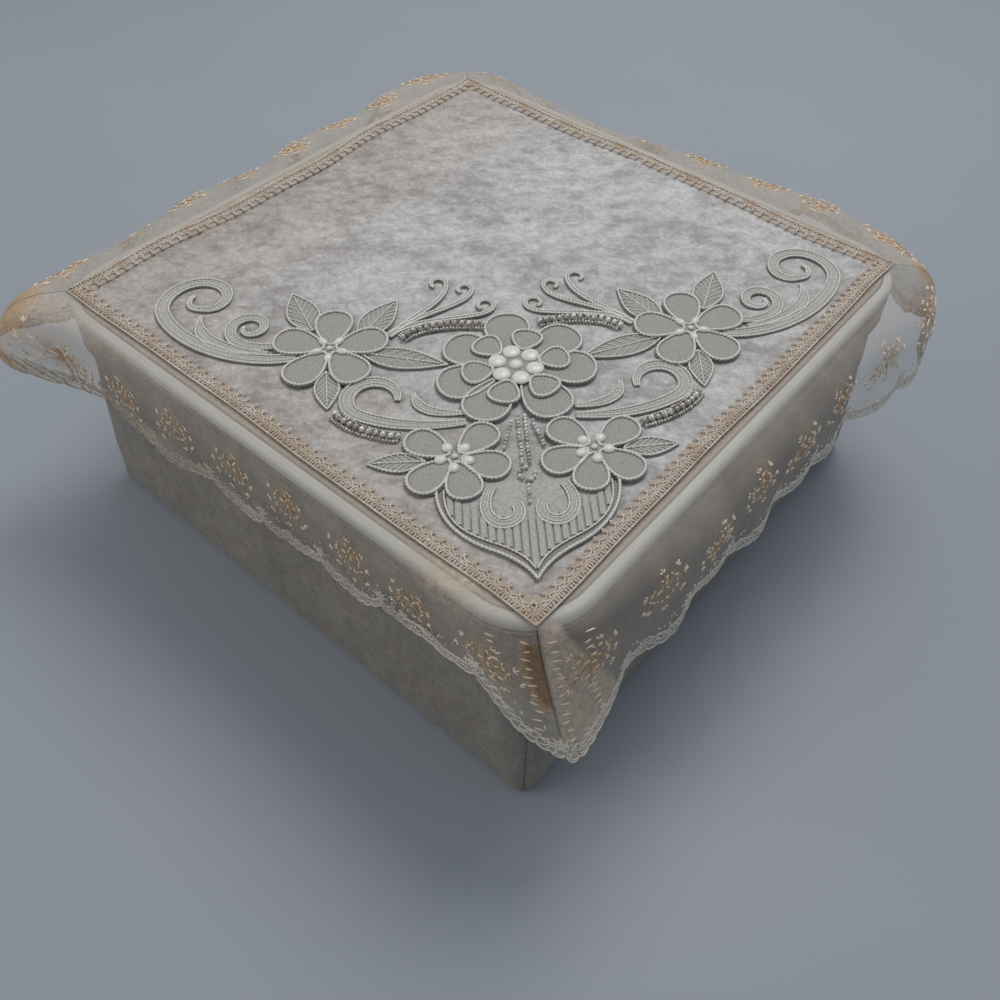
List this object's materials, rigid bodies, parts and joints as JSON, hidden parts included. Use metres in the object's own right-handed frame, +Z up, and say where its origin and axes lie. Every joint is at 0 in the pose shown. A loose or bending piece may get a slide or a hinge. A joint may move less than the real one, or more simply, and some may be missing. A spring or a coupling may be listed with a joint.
{
  "type": "wedding card box",
  "caption": "Square velvet-covered box with a lift-off lid, trimmed with a corded floral applique and a deep tulle lace flounce, for wedding cards and gifts.",
  "frame": {"origin": "centre of the box's underside, on the surface that it stands on", "axes": "+Z up; -Y the side that meets the applique's tip at the front corner on the left, +X the side that meets it on the right; the applique's tip points to the +X -Y corner"},
  "size_m": [0.4739, 0.4872, 0.1752],
  "materials": {
    "top_velvet": "crushed velvet, ivory",
    "wall_velvet": "crushed velvet, ivory, in shade",
    "lid_plastic": "smooth moulded, semi-gloss, cool white",
    "card": "grey board",
    "braid": "woven looped gimp braid, champagne",
    "tulle": "sheer tulle with embroidered sprigs and a corded scalloped hem",
    "net": "fine net",
    "embroidery": "satin-stitched filling with raised cord edge",
    "silver_cord": "twisted silver-ivory cord",
    "pearl": "pearl lustre",
    "beads": "faceted clear-silver beads"
  },
  "bodies": {
    "box": {"base_cover": "wall_velvet", "base_board": "card", "tub": "lid_plastic", "velvet_front": "wall_velvet", "velvet_back": "wall_velvet", "velvet_left": "wall_velvet", "velvet_right": "wall_velvet"},
    "lid": {"lid_shell": "lid_plastic", "velvet_top": "top_velvet", "braid_front": "braid", "braid_back": "braid", "braid_left": "braid", "braid_right": "braid", "lace_front": "tulle", "lace_back": "tulle", "lace_left": "tulle", "lace_right": "tulle", "applique_net": "net", "middle_flower": "embroidery", "middle_inner_petals": "embroidery", "pearls": "pearl", "side_flowers": "embroidery", "lower_flowers": "embroidery", "leaves": "embroidery", "volutes": "embroidery", "inner_volutes": "embroidery", "plumes": "silver_cord", "lower_scrolls": "embroidery", "bead_bands": "beads", "stalks": "beads", "foot_curls": "silver_cord", "fan": "silver_cord"}
  },
  "joints": [
    {"name": "lid_lift", "type": "slide", "parent": "box", "child": "lid", "axis": [0, 0, 1], "range_m": [0, 0.16]}
  ]
}
